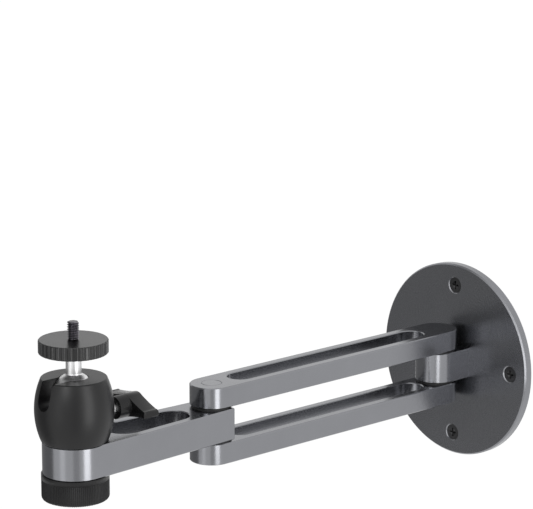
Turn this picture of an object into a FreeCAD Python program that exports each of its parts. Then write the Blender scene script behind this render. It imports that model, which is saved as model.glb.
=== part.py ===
import FreeCAD, Part
import math
import os

# A folding wall mount: a round wall plate, two slotted long arms side by side in height,
# one slotted short arm between them, and a small ball head with a threaded stud.
# The row frame has its origin at the centre of the plate's back face. The wall is the plane Y = 0,
# the arms reach out along -Y and +Z is up. Every size is in millimetres.

Vector = FreeCAD.Vector
X_WAY = Vector(1, 0, 0)
Y_WAY = Vector(0, 1, 0)
Z_WAY = Vector(0, 0, 1)
ORIGIN = Vector(0, 0, 0)

# Wall plate
plate_diameter = 115.0
plate_thickness = 5.4
plate_rim_chamfer = 0.8
plate_back_chamfer = 0.4
wall_screw_circle = 90.0
wall_screw_count = 4
wall_hole_diameter = 5.2
wall_countersink_diameter = 10.2

# Countersunk screws through the plate into the wall
wall_screw_head_diameter = 9.2
wall_screw_neck_diameter = 4.2
wall_screw_thread_diameter = 4.8
wall_screw_reach = 11.0
wall_screw_point_length = 4.0
wall_screw_tip_diameter = 0.8
wall_recess_span = 5.0
wall_recess_width = 1.1
wall_recess_depth = 1.6

# Countersunk screws from the plate's back into the knuckle
knuckle_screw_spacing = 14.0
knuckle_screw_diameter = 5.0
knuckle_screw_head_diameter = 9.6
knuckle_screw_bite = 9.0
knuckle_screw_socket = 3.0
knuckle_screw_socket_depth = 1.8
knuckle_screw_sink = 0.2
knuckle_thread_depth = 1.0

# Pivots and arms
wall_pivot_distance = 20.3
long_arm_reach = 174.0
short_arm_reach = 94.0
arm_width = 24.0
long_arm_thickness = 11.8
middle_height = 17.6
washer_thickness = 1.1
washer_rim_inset = 1.0
arm_edge_chamfer = 0.45
long_rail_width = 4.7
long_web = 13.5

# Short arm
head_end_diameter = 34.4
elbow_half_width = 12.6
elbow_end_overhang = 6.4
elbow_corner_radius = 1.0
short_rail_width = 4.6
head_web = 21.8
elbow_web = 18.5

# Pivot hardware
wall_pivot_diameter = 8.0
wall_pivot_bite = 8.0
wall_pivot_head_diameter = 12.0
wall_pivot_socket = 5.0
wall_pivot_socket_depth = 3.0
elbow_pin_diameter = 11.0
elbow_pin_seat_depth = 6.5
elbow_pin_rim_chamfer = 0.3
elbow_screw_diameter = 6.0
elbow_screw_head_diameter = 11.0
elbow_screw_bite = 14.0
elbow_screw_socket = 4.0
elbow_screw_socket_depth = 2.4
thread_tip_room = 1.0

# Ball head housing
housing_bottom_diameter = 35.0
housing_belly_diameter = 41.8
housing_top_diameter = 34.6
housing_height = 34.0
housing_rim_radius = 0.8
housing_foot_chamfer = 0.5
ball_diameter = 22.0
ball_height_in_housing = 25.6
ball_gap = 0.3
tilt_slot_width = 9.4
tilt_slot_floor = 19.3

# Ball stem, stud and lock ring
neck_diameter = 8.3
neck_root_radius = 1.0
ring_height_over_housing = 13.1
stud_diameter = 6.35
stud_seated_diameter = 5.8
stud_length_over_ring = 9.5
stud_seat_depth = 10.0
stud_tip_chamfer = 0.6
ring_diameter = 36.6
ring_thickness = 7.2
ring_edge_chamfer = 0.5
ring_flute_count = 36
ring_flute_radius = 1.1
ring_flute_depth = 0.6

# Parts under the ball
plug_thickness = 6.4
cup_floor_gap = 0.3
cup_rim_height = 19.0
cup_side_gap = 0.1

# Wing knob and its screw
wing_axis_height = 12.1
wing_screw_diameter = 6.0
wing_screw_tip_distance = 6.6
wing_screw_point_length = 3.0
wing_screw_point_diameter = 1.4
collar_diameter = 7.2
collar_gap = 0.3
hub_start_distance = 26.3
hub_length = 8.9
hub_diameter = 11.8
hub_edge_chamfer = 0.4
wing_thickness = 7.0
wing_root_diameter = 11.8
wing_root_wrap = 52.0
wing_flank_sag = 0.95
wing_tip_diameter = 3.8
wing_tip_wrap = 60.0
wing_tip_distance = 16.4
wing_inner_cut = 3.0
wing_insert_depth = 8.0
wing_rest_tilt = 6.5

# Clamp knob under the short arm
clamp_diameter = 35.8
clamp_height = 13.7
clamp_collar_height = 2.6
clamp_grip_inset = 0.25
clamp_foot_radius = 1.6
clamp_bolt_diameter = 6.35
clamp_bolt_bite = 5.4
clamp_bolt_hex = 11.1
clamp_bolt_head_height = 4.4
clamp_pocket_depth = 5.6
clamp_hole_gap = 0.2

# Fits
running_gap = 0.05
seat_gap = 0.05

# Positions closer than this count as one when an edge is picked
same_place = 0.0001

# Heights and stations that follow from the sizes above
arm_radius = arm_width / 2
middle_top = middle_height / 2
long_arm_low = middle_top + washer_thickness
long_arm_top = long_arm_low + long_arm_thickness
plate_front = -plate_thickness
wall_pivot_y = -wall_pivot_distance
elbow_y = wall_pivot_y - long_arm_reach
head_y = elbow_y - short_arm_reach
head_end_radius = head_end_diameter / 2
housing_low = middle_top
housing_top = housing_low + housing_height
ball_z = housing_low + ball_height_in_housing
ball_radius = ball_diameter / 2
bore_radius = ball_radius + ball_gap
seat_apex = bore_radius * math.sqrt(2)
ring_low = housing_top + ring_height_over_housing
ring_top = ring_low + ring_thickness
stud_top = ring_top + stud_length_over_ring
wing_z = housing_low + wing_axis_height
hub_end_distance = hub_start_distance + hub_length
wing_end_distance = hub_end_distance + wing_thickness
clamp_top = -middle_top
clamp_low = clamp_top - clamp_height


def cylinder(diameter, length, base, way):
    return Part.makeCylinder(diameter / 2, length, base, way)


def cone(start_diameter, end_diameter, length, base, way):
    return Part.makeCone(start_diameter / 2, end_diameter / 2, length, base, way)


def hexagon(across_flats, length, base, way):
    """A six-sided prism along a way, starting at its base."""
    corner = across_flats / 2 / math.cos(math.pi / 6)
    side = X_WAY
    up = way.cross(side)
    points = []
    for step in range(7):
        turn = step * math.pi / 3
        points.append(base + side * (corner * math.cos(turn)) + up * (corner * math.sin(turn)))
    return Part.Face(Part.makePolygon(points)).extrude(way * length)


def belt(first_y, first_radius, second_y, second_radius, low, height):
    """A prism whose outline runs round two circles on the line X = 0."""
    length = abs(second_y - first_y)
    side = math.copysign(1.0, second_y - first_y)
    lean = math.asin((first_radius - second_radius) / length)
    first_x = first_radius * math.cos(lean)
    first_touch = first_y + side * first_radius * math.sin(lean)
    second_x = second_radius * math.cos(lean)
    second_touch = second_y + side * second_radius * math.sin(lean)
    first_right = Vector(first_x, first_touch, low)
    first_left = Vector(-first_x, first_touch, low)
    first_end = Vector(0, first_y - side * first_radius, low)
    second_right = Vector(second_x, second_touch, low)
    second_left = Vector(-second_x, second_touch, low)
    second_end = Vector(0, second_y + side * second_radius, low)
    edges = [
        Part.LineSegment(first_right, second_right).toShape(),
        Part.Arc(second_right, second_end, second_left).toShape(),
        Part.LineSegment(second_left, first_left).toShape(),
        Part.Arc(first_left, first_end, first_right).toShape(),
    ]
    return Part.Face(Part.Wire(edges)).extrude(Vector(0, 0, height))


def rim_edges(solid, height):
    """The edges that lie flat at one height."""
    return [e for e in solid.Edges if abs(e.BoundBox.ZMin - height) < same_place
            and abs(e.BoundBox.ZMax - height) < same_place]


def level_edges(solid, low, height, keep_out_y=None):
    """The edges that lie flat in a prism's two end faces, without those in the plane Y = keep_out_y."""
    found = []
    for edge in rim_edges(solid, low) + rim_edges(solid, low + height):
        box = edge.BoundBox
        square = keep_out_y is not None and box.YLength < same_place
        if not (square and abs(box.YMin - keep_out_y) < same_place):
            found.append(edge)
    return found


def countersunk_screw(head_diameter, shank_diameter, length, base, way):
    """A flat head screw with a 90 degree head; base is the centre of its head's face."""
    head_depth = (head_diameter - shank_diameter) / 2
    head = cone(head_diameter, shank_diameter, head_depth, base, way)
    return head.fuse(cylinder(shank_diameter, length, base, way)).removeSplitter()


def wall_plate():
    plate = cylinder(plate_diameter, plate_thickness, ORIGIN, -Y_WAY)
    front = [e for e in plate.Edges if abs(e.BoundBox.YMax - plate_front) < same_place]
    plate = plate.makeChamfer(plate_rim_chamfer, front)
    back = [e for e in plate.Edges if abs(e.BoundBox.YMin) < same_place and e.BoundBox.YLength < same_place]
    plate = plate.makeChamfer(plate_back_chamfer, back)
    for place in wall_screw_places():
        face = place + Y_WAY * plate_front
        depth = (wall_countersink_diameter - wall_hole_diameter) / 2
        plate = plate.cut(cylinder(wall_hole_diameter, plate_thickness, face, Y_WAY))
        plate = plate.cut(cone(wall_countersink_diameter, wall_hole_diameter, depth, face, Y_WAY))
    for place in knuckle_screw_places():
        hole = knuckle_screw_diameter + 2 * seat_gap
        mouth = knuckle_screw_head_diameter + 2 * knuckle_screw_sink + 2 * seat_gap
        depth = (mouth - hole) / 2
        plate = plate.cut(cylinder(hole, plate_thickness, place, -Y_WAY))
        plate = plate.cut(cone(mouth, hole, depth, place, -Y_WAY))
    return plate


def wall_screw_places():
    """Centres of the screws on the wall plane: top, right, bottom and left."""
    radius = wall_screw_circle / 2
    places = []
    for index in range(wall_screw_count):
        turn = 2 * math.pi * index / wall_screw_count
        places.append(Vector(radius * math.sin(turn), 0, radius * math.cos(turn)))
    return places


def wall_screws():
    """Four screws with cross recesses; their threads stand out behind the plate."""
    sink = (wall_countersink_diameter - wall_screw_head_diameter) / 2 - seat_gap
    face_y = plate_front + sink
    threaded = wall_screw_reach - wall_screw_point_length
    screws = []
    for place in wall_screw_places():
        face = place + Y_WAY * face_y
        screw = countersunk_screw(wall_screw_head_diameter, wall_screw_neck_diameter, -face_y, face, Y_WAY)
        screw = screw.fuse(cylinder(wall_screw_thread_diameter, threaded, place, Y_WAY))
        point = cone(wall_screw_thread_diameter, wall_screw_tip_diameter, wall_screw_point_length,
                     place + Y_WAY * threaded, Y_WAY)
        screw = screw.fuse(point)
        for span_x, span_z in ((wall_recess_span, wall_recess_width), (wall_recess_width, wall_recess_span)):
            corner = face - Vector(span_x / 2, 0, span_z / 2)
            screw = screw.cut(Part.makeBox(span_x, wall_recess_depth, span_z, corner))
        screws.append(screw)
    return Part.makeCompound(screws)


def knuckle_screw_places():
    half = knuckle_screw_spacing / 2
    return [Vector(-half, 0, 0), Vector(half, 0, 0)]


def knuckle_screws():
    """Two screws that hold the knuckle from the plate's back."""
    length = plate_thickness - knuckle_screw_sink + knuckle_screw_bite
    screws = []
    for place in knuckle_screw_places():
        face = place - Y_WAY * knuckle_screw_sink
        screw = countersunk_screw(knuckle_screw_head_diameter, knuckle_screw_diameter, length, face, -Y_WAY)
        screws.append(screw.cut(hexagon(knuckle_screw_socket, knuckle_screw_socket_depth, face, -Y_WAY)))
    return Part.makeCompound(screws)


def wall_knuckle():
    """The bar on the plate that the long arms swing on."""
    low = -middle_top
    bar = belt(wall_pivot_y, arm_radius, plate_front, arm_radius, low, middle_height)
    beyond = Part.makeBox(arm_width, arm_radius, middle_height, Vector(-arm_radius, plate_front, low))
    bar = bar.cut(beyond)
    bar = bar.makeChamfer(arm_edge_chamfer, level_edges(bar, low, middle_height, plate_front))
    bore = wall_pivot_diameter + 2 * running_gap
    bar = bar.cut(cylinder(bore, middle_height, Vector(0, wall_pivot_y, low), Z_WAY))
    for place in knuckle_screw_places():
        thread = knuckle_screw_diameter + 2 * seat_gap
        depth = knuckle_screw_bite + knuckle_thread_depth
        bar = bar.cut(cylinder(thread, depth, place + Y_WAY * plate_front, -Y_WAY))
    return bar


def long_arm(low):
    """A slotted arm with two round ends, before its pivot holes."""
    arm = belt(wall_pivot_y, arm_radius, elbow_y, arm_radius, low, long_arm_thickness)
    slot_radius = arm_radius - long_rail_width
    wall_end = wall_pivot_y - long_web - slot_radius
    elbow_end = elbow_y + long_web + slot_radius
    arm = arm.cut(belt(wall_end, slot_radius, elbow_end, slot_radius, low, long_arm_thickness))
    return arm.makeChamfer(arm_edge_chamfer, level_edges(arm, low, long_arm_thickness))


def long_arm_upper():
    arm = long_arm(long_arm_low)
    wall_hole = wall_pivot_diameter + 2 * seat_gap
    depth = wall_pivot_bite + thread_tip_room
    arm = arm.cut(cylinder(wall_hole, depth, Vector(0, wall_pivot_y, long_arm_low), Z_WAY))
    pin_hole = elbow_pin_diameter + 2 * seat_gap
    arm = arm.cut(cylinder(pin_hole, long_arm_thickness, Vector(0, elbow_y, long_arm_low), Z_WAY))
    mouth = pin_hole + 2 * elbow_pin_rim_chamfer
    rim = Vector(0, elbow_y, long_arm_top)
    return arm.cut(cone(mouth, pin_hole, elbow_pin_rim_chamfer, rim, -Z_WAY))


def long_arm_lower():
    arm = long_arm(-long_arm_top)
    foot = Vector(0, wall_pivot_y, -long_arm_top)
    hole = wall_pivot_diameter + 2 * seat_gap
    mouth = wall_pivot_head_diameter + 2 * seat_gap
    arm = arm.cut(cylinder(hole, long_arm_thickness, foot, Z_WAY))
    arm = arm.cut(cone(mouth, hole, (mouth - hole) / 2, foot, Z_WAY))
    foot = Vector(0, elbow_y, -long_arm_top)
    seat = elbow_pin_diameter + 2 * seat_gap
    arm = arm.cut(cylinder(seat, elbow_pin_seat_depth, Vector(0, elbow_y, -long_arm_low), -Z_WAY))
    hole = elbow_screw_diameter + 2 * seat_gap
    mouth = elbow_screw_head_diameter + 2 * seat_gap
    arm = arm.cut(cylinder(hole, long_arm_thickness, foot, Z_WAY))
    return arm.cut(cone(mouth, hole, (mouth - hole) / 2, foot, Z_WAY))


def wall_pivot_screw():
    """The shoulder screw from below through the lower arm and the knuckle into the upper arm."""
    base = Vector(0, wall_pivot_y, -long_arm_top)
    length = long_arm_top + long_arm_low + wall_pivot_bite
    screw = countersunk_screw(wall_pivot_head_diameter, wall_pivot_diameter, length, base, Z_WAY)
    return screw.cut(hexagon(wall_pivot_socket, wall_pivot_socket_depth, base, Z_WAY))


def elbow_pin():
    """The pin through the upper arm and the short arm, flush with the upper arm's top."""
    low = -long_arm_low - elbow_pin_seat_depth
    pin = cylinder(elbow_pin_diameter, long_arm_top - low, Vector(0, elbow_y, low), Z_WAY)
    pin = pin.makeChamfer(elbow_pin_rim_chamfer, rim_edges(pin, long_arm_top))
    thread = elbow_screw_diameter + 2 * seat_gap
    return pin.cut(cylinder(thread, elbow_screw_bite + thread_tip_room, Vector(0, elbow_y, low), Z_WAY))


def elbow_screw():
    """The countersunk screw from below that holds the elbow pin."""
    base = Vector(0, elbow_y, -long_arm_top)
    length = long_arm_thickness - elbow_pin_seat_depth + elbow_screw_bite
    screw = countersunk_screw(elbow_screw_head_diameter, elbow_screw_diameter, length, base, Z_WAY)
    return screw.cut(hexagon(elbow_screw_socket, elbow_screw_socket_depth, base, Z_WAY))


def washer(pivot_y, hole_diameter, low):
    """A thin flat washer between the middle piece and a long arm."""
    base = Vector(0, pivot_y, low)
    disc = cylinder(arm_width - 2 * washer_rim_inset, washer_thickness, base, Z_WAY)
    return disc.cut(cylinder(hole_diameter + 2 * seat_gap, washer_thickness, base, Z_WAY))


def short_arm():
    """The arm between the long arms: wide and round at the head, square at the elbow."""
    low = -middle_top
    lean = side_lean()
    elbow_end = elbow_y + elbow_end_overhang
    end_half = half_width(short_arm_reach + elbow_end_overhang, lean)
    touch_x = head_end_radius * math.cos(lean)
    touch_y = head_y + head_end_radius * math.sin(lean)
    right = Vector(touch_x, touch_y, low)
    left = Vector(-touch_x, touch_y, low)
    end_right = Vector(end_half, elbow_end, low)
    end_left = Vector(-end_half, elbow_end, low)
    edges = [
        Part.LineSegment(right, end_right).toShape(),
        Part.LineSegment(end_right, end_left).toShape(),
        Part.LineSegment(end_left, left).toShape(),
        Part.Arc(left, Vector(0, head_y - head_end_radius, low), right).toShape(),
    ]
    arm = Part.Face(Part.Wire(edges)).extrude(Vector(0, 0, middle_height))
    upright = [e for e in arm.Edges if e.BoundBox.ZLength > middle_height / 2
               and abs(e.BoundBox.YMax - elbow_end) < same_place]
    arm = arm.makeFillet(elbow_corner_radius, upright)
    arm = arm.cut(short_arm_slot(low, lean))
    arm = arm.makeChamfer(arm_edge_chamfer, level_edges(arm, low, middle_height))
    pin_bore = elbow_pin_diameter + 2 * running_gap
    arm = arm.cut(cylinder(pin_bore, middle_height, Vector(0, elbow_y, low), Z_WAY))
    bolt_bore = clamp_bolt_diameter + 2 * clamp_hole_gap
    return arm.cut(cylinder(bolt_bore, middle_height, Vector(0, head_y, low), Z_WAY))


def side_lean():
    """The angle between the short arm's side and its centre line."""
    reach = math.hypot(short_arm_reach, elbow_half_width)
    return math.asin(head_end_radius / reach) - math.atan2(elbow_half_width, short_arm_reach)


def half_width(distance, lean):
    """The short arm's half width at a distance from the head axis."""
    return (head_end_radius - distance * math.sin(lean)) / math.cos(lean)


def short_arm_slot(low, lean):
    """The tapered slot, at one rail's width from the arm's sides."""
    slope = math.sin(lean)
    inner = head_end_radius - short_rail_width
    head_centre = (head_web + inner) / (1 + slope)
    elbow_centre = (short_arm_reach - elbow_web - inner) / (1 - slope)
    head_slot_radius = inner - head_centre * slope
    elbow_slot_radius = inner - elbow_centre * slope
    return belt(head_y + head_centre, head_slot_radius, head_y + elbow_centre, elbow_slot_radius,
                low, middle_height)


def barrel_outline():
    """The barrel's half section: a bowed side, a rounded top rim and a small chamfer at the foot."""
    foot = Vector(housing_bottom_diameter / 2, 0, housing_low)
    belly = Vector(housing_belly_diameter / 2, 0, housing_low + housing_height / 2)
    brim = Vector(housing_top_diameter / 2, 0, housing_top)
    side = Part.Arc(foot, belly, brim).toShape().Curve
    rim_z = housing_top - housing_rim_radius
    inner_radius = side.Radius - housing_rim_radius
    rim_x = side.Center.x + math.sqrt(inner_radius ** 2 - (rim_z - side.Center.z) ** 2)
    rim_centre = Vector(rim_x, 0, rim_z)
    outward = (rim_centre - side.Center).normalize()
    side_end = rim_centre + outward * housing_rim_radius
    rim_middle = rim_centre + (outward + Z_WAY).normalize() * housing_rim_radius
    rim_end = rim_centre + Z_WAY * housing_rim_radius
    start_z = housing_low + housing_foot_chamfer
    start_x = side.Center.x + math.sqrt(side.Radius ** 2 - (start_z - side.Center.z) ** 2)
    side_start = Vector(start_x, 0, start_z)
    foot_end = side_start - Vector(housing_foot_chamfer, 0, housing_foot_chamfer)
    base = Vector(0, 0, housing_low)
    lid = Vector(0, 0, housing_top)
    return Part.Wire([
        Part.LineSegment(base, foot_end).toShape(),
        Part.LineSegment(foot_end, side_start).toShape(),
        Part.Arc(side_start, belly, side_end).toShape(),
        Part.Arc(side_end, rim_middle, rim_end).toShape(),
        Part.LineSegment(rim_end, lid).toShape(),
        Part.LineSegment(lid, base).toShape(),
    ])


def ball_housing():
    """The barrel that holds the ball under a cone seat, with a side slot that the neck tips into."""
    barrel = Part.Face(barrel_outline()).revolve(ORIGIN, Z_WAY, 360)
    base = Vector(0, 0, housing_low)
    seat_start = Vector(0, 0, ball_z + seat_apex - bore_radius)
    mouth = 2 * (seat_apex - housing_top + ball_z)
    barrel = barrel.cut(cylinder(2 * bore_radius, seat_start.z - housing_low, base, Z_WAY))
    barrel = barrel.cut(cone(2 * bore_radius, mouth, housing_top - seat_start.z, seat_start, Z_WAY))
    floor_centre = Vector(0, 0, housing_low + tilt_slot_floor + tilt_slot_width / 2)
    reach = housing_belly_diameter / 2
    barrel = barrel.cut(cylinder(tilt_slot_width, reach, floor_centre, -Y_WAY))
    slot_corner = floor_centre - Vector(tilt_slot_width / 2, reach, 0)
    slot_rise = housing_top - floor_centre.z
    barrel = barrel.cut(Part.makeBox(tilt_slot_width, reach, slot_rise, slot_corner))
    thread = wing_screw_diameter + 2 * running_gap
    barrel = barrel.cut(cylinder(thread, reach, Vector(0, 0, wing_z), Y_WAY))
    return at_head(barrel)


def at_head(solid):
    """Moves a solid from the row's Z axis to the head axis."""
    solid.translate(Vector(0, head_y, 0))
    return solid


def ball_stem():
    """The ball and its neck, turned in one piece with a rounded root between them."""
    centre = Vector(0, 0, ball_z)
    neck_radius = neck_diameter / 2
    root_x = neck_radius + neck_root_radius
    root_reach = ball_radius + neck_root_radius
    root_centre = Vector(root_x, 0, ball_z + math.sqrt(root_reach ** 2 - root_x ** 2))
    inward = (centre - root_centre).normalize()
    ball_end = root_centre + inward * neck_root_radius
    root_middle = root_centre + (inward - X_WAY).normalize() * neck_root_radius
    neck_start = root_centre - X_WAY * neck_root_radius
    neck_end = Vector(neck_radius, 0, ring_low)
    top = Vector(0, 0, ring_low)
    bottom = centre - Z_WAY * ball_radius
    outline = Part.Wire([
        Part.Arc(bottom, centre + X_WAY * ball_radius, ball_end).toShape(),
        Part.Arc(ball_end, root_middle, neck_start).toShape(),
        Part.LineSegment(neck_start, neck_end).toShape(),
        Part.LineSegment(neck_end, top).toShape(),
        Part.LineSegment(top, bottom).toShape(),
    ])
    stem = Part.Face(outline).revolve(ORIGIN, Z_WAY, 360)
    seat = top - Z_WAY * stud_seat_depth
    return at_head(stem.cut(cylinder(stud_seated_diameter + 2 * seat_gap, stud_seat_depth, seat, Z_WAY)))


def mounting_stud():
    """The threaded stud: its free end is at full diameter, and below it sits in the ring and the neck."""
    stud = cylinder(stud_diameter, stud_length_over_ring, Vector(0, 0, ring_top), Z_WAY)
    stud = stud.makeChamfer(stud_tip_chamfer, rim_edges(stud, stud_top))
    seated = cylinder(stud_seated_diameter, stud_seat_depth + ring_thickness,
                      Vector(0, 0, ring_low - stud_seat_depth), Z_WAY)
    return at_head(stud.fuse(seated))


def lock_ring():
    """The fluted ring on the stud."""
    ring = cylinder(ring_diameter, ring_thickness, Vector(0, 0, ring_low), Z_WAY)
    ring = ring.makeChamfer(ring_edge_chamfer, rim_edges(ring, ring_low) + rim_edges(ring, ring_top))
    flute_place = ring_diameter / 2 + ring_flute_radius - ring_flute_depth
    flutes = []
    for index in range(ring_flute_count):
        turn = 2 * math.pi * index / ring_flute_count
        base = Vector(flute_place * math.cos(turn), flute_place * math.sin(turn), ring_low)
        flutes.append(cylinder(2 * ring_flute_radius, ring_thickness, base, Z_WAY))
    ring = ring.cut(Part.makeCompound(flutes))
    hole = stud_seated_diameter + 2 * running_gap
    return at_head(ring.cut(cylinder(hole, ring_thickness, Vector(0, 0, ring_low), Z_WAY)))


def base_plug():
    """The threaded plug that closes the housing's bore."""
    base = Vector(0, 0, housing_low)
    plug = cylinder(2 * (bore_radius - seat_gap), plug_thickness, base, Z_WAY)
    hole = clamp_bolt_diameter + 2 * running_gap
    return at_head(plug.cut(cylinder(hole, plug_thickness, base, Z_WAY)))


def ball_cup():
    """The cup under the ball, with a side notch for the wing screw's point."""
    low = housing_low + plug_thickness + cup_floor_gap
    top = housing_low + cup_rim_height
    cup = cylinder(2 * (bore_radius - cup_side_gap), top - low, Vector(0, 0, low), Z_WAY)
    seat_tip = Vector(0, 0, ball_z - seat_apex)
    cup = cup.cut(cone(0, 2 * (top - seat_tip.z), top - seat_tip.z, seat_tip, Z_WAY))
    start = Vector(0, wing_screw_tip_distance - ball_gap, wing_z)
    wide = wing_screw_diameter + 2 * ball_gap
    notch = cone(wing_screw_point_diameter + 2 * ball_gap, wide, wing_screw_point_length, start, Y_WAY)
    mouth = start + Y_WAY * wing_screw_point_length
    notch = notch.fuse(cylinder(wide, bore_radius, mouth, Y_WAY))
    return at_head(cup.cut(notch))


def wing_screw():
    """The screw that presses on the cup, with a smooth collar outside the housing."""
    tip = Vector(0, wing_screw_tip_distance, wing_z)
    shoulder = tip + Y_WAY * wing_screw_point_length
    end = hub_start_distance + wing_insert_depth
    screw = cone(wing_screw_point_diameter, wing_screw_diameter, wing_screw_point_length, tip, Y_WAY)
    screw = screw.fuse(cylinder(wing_screw_diameter, end - shoulder.y, shoulder, Y_WAY))
    collar_start = housing_belly_diameter / 2 + collar_gap
    collar_length = hub_start_distance - collar_start
    collar = cylinder(collar_diameter, collar_length, Vector(0, collar_start, wing_z), Y_WAY)
    return at_head(screw.fuse(collar).removeSplitter())


def wing_outline():
    """The two wings seen along their axis: a round root, full flanks and round tips."""
    root = wing_root_diameter / 2
    tip = wing_tip_diameter / 2
    root_wrap = math.radians(wing_root_wrap)
    tip_wrap = math.radians(wing_tip_wrap)
    shoulder = Vector(root * math.cos(root_wrap), 0, root * math.sin(root_wrap))
    flank_end = Vector(wing_tip_distance - tip * math.cos(tip_wrap), 0, tip * math.sin(tip_wrap))
    outwards = (flank_end - shoulder).cross(Y_WAY).normalize()
    crown = (shoulder + flank_end) / 2 + outwards * wing_flank_sag

    def corner(point, side, rise):
        return Vector(point.x * side, 0, point.z * rise)

    edges = []
    for side, rise in ((1, 1), (-1, -1)):
        root_top = Vector(0, 0, rise * root)
        tip_end = Vector(side * (wing_tip_distance + tip), 0, 0)
        start = corner(shoulder, side, rise)
        end = corner(flank_end, side, rise)
        low_end = corner(flank_end, side, -rise)
        low_start = corner(shoulder, side, -rise)
        edges.append(Part.Arc(corner(shoulder, -side, rise), root_top, start).toShape())
        edges.append(Part.Arc(start, corner(crown, side, rise), end).toShape())
        edges.append(Part.Arc(end, tip_end, low_end).toShape())
        edges.append(Part.Arc(low_end, corner(crown, side, -rise), low_start).toShape())
    return Part.Wire(edges)


def wing_knob():
    """The moulded two-wing knob; its wings have full flanks and splay outwards."""
    hub = cylinder(hub_diameter, hub_length + wing_thickness, Vector(0, hub_start_distance, 0), Y_WAY)
    inner_rim = [e for e in hub.Edges if abs(e.BoundBox.YMax - hub_start_distance) < same_place]
    hub = hub.makeChamfer(hub_edge_chamfer, inner_rim)
    wings = Part.Face(wing_outline()).extrude(Y_WAY * wing_thickness)
    wings.translate(Vector(0, hub_end_distance, 0))
    root = wing_root_diameter / 2
    reach = wing_tip_distance + wing_tip_diameter / 2
    inner = reach - wing_inner_cut
    plan = [
        Vector(-inner, hub_end_distance, -root),
        Vector(inner, hub_end_distance, -root),
        Vector(reach, wing_end_distance, -root),
        Vector(-reach, wing_end_distance, -root),
        Vector(-inner, hub_end_distance, -root),
    ]
    wings = wings.common(Part.Face(Part.makePolygon(plan)).extrude(Vector(0, 0, 2 * root)))
    knob = hub.fuse(wings).removeSplitter()
    insert = wing_screw_diameter + 2 * seat_gap
    knob = knob.cut(cylinder(insert, wing_insert_depth + seat_gap, Vector(0, hub_start_distance, 0), Y_WAY))
    knob.rotate(ORIGIN, Y_WAY, wing_rest_tilt)
    knob.translate(Vector(0, 0, wing_z))
    return at_head(knob)


def bottom_knob():
    """The round knob that clamps the head on the arm, with a pocket for the bolt's head."""
    collar_low = clamp_top - clamp_collar_height
    collar = cylinder(clamp_diameter, clamp_collar_height, Vector(0, 0, collar_low), Z_WAY)
    grip_diameter = clamp_diameter - 2 * clamp_grip_inset
    grip = cylinder(grip_diameter, collar_low - clamp_low, Vector(0, 0, clamp_low), Z_WAY)
    grip = grip.makeFillet(clamp_foot_radius, rim_edges(grip, clamp_low))
    knob = collar.fuse(grip)
    hole = clamp_bolt_diameter + 2 * seat_gap
    knob = knob.cut(cylinder(hole, clamp_height, Vector(0, 0, clamp_low), Z_WAY))
    pocket = clamp_bolt_hex + 2 * seat_gap
    return at_head(knob.cut(hexagon(pocket, clamp_pocket_depth, Vector(0, 0, clamp_low), Z_WAY)))


def clamp_bolt():
    """The hexagon bolt in the knob, up through the arm into the plug."""
    seat = clamp_low + clamp_pocket_depth
    head = hexagon(clamp_bolt_hex, clamp_bolt_head_height, Vector(0, 0, seat - clamp_bolt_head_height), Z_WAY)
    length = housing_low + clamp_bolt_bite - seat
    shank = cylinder(clamp_bolt_diameter, length, Vector(0, 0, seat), Z_WAY)
    return at_head(head.fuse(shank))


pieces = {
    "wall_plate": wall_plate(),
    "wall_screws": wall_screws(),
    "wall_knuckle": wall_knuckle(),
    "knuckle_screws": knuckle_screws(),
    "wall_pivot_screw": wall_pivot_screw(),
    "wall_washer_upper": washer(wall_pivot_y, wall_pivot_diameter, middle_top),
    "wall_washer_lower": washer(wall_pivot_y, wall_pivot_diameter, -long_arm_low),
    "long_arm_upper": long_arm_upper(),
    "long_arm_lower": long_arm_lower(),
    "elbow_pin": elbow_pin(),
    "elbow_screw": elbow_screw(),
    "elbow_washer_upper": washer(elbow_y, elbow_pin_diameter, middle_top),
    "elbow_washer_lower": washer(elbow_y, elbow_pin_diameter, -long_arm_low),
    "short_arm": short_arm(),
    "ball_housing": ball_housing(),
    "base_plug": base_plug(),
    "ball_cup": ball_cup(),
    "ball_stem": ball_stem(),
    "mounting_stud": mounting_stud(),
    "lock_ring": lock_ring(),
    "wing_knob": wing_knob(),
    "wing_screw": wing_screw(),
    "bottom_knob": bottom_knob(),
    "clamp_bolt": clamp_bolt(),
}

for name, shape in pieces.items():
    shape.exportStep("parts/" + name + ".step")
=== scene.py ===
import math

import bmesh
import bpy
from mathutils import Matrix, Vector


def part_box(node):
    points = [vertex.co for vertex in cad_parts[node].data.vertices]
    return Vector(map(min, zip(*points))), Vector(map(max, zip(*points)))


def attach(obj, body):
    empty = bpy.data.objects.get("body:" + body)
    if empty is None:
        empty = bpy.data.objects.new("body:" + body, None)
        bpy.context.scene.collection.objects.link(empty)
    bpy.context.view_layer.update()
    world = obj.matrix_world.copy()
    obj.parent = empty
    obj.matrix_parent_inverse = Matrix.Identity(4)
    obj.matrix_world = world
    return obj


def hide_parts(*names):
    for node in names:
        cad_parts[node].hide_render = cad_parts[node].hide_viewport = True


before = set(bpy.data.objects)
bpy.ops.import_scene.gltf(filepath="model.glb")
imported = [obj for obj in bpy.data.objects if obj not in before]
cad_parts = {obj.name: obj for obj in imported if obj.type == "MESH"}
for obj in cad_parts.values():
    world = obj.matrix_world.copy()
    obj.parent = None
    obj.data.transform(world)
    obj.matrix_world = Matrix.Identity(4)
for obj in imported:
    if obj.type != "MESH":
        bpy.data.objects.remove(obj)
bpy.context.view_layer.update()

# A folding wall mount with a small ball head. Metres, +Z up; the wall is the plane Y = 0
# and the arms reach out along -Y.

MM = 0.001

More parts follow.
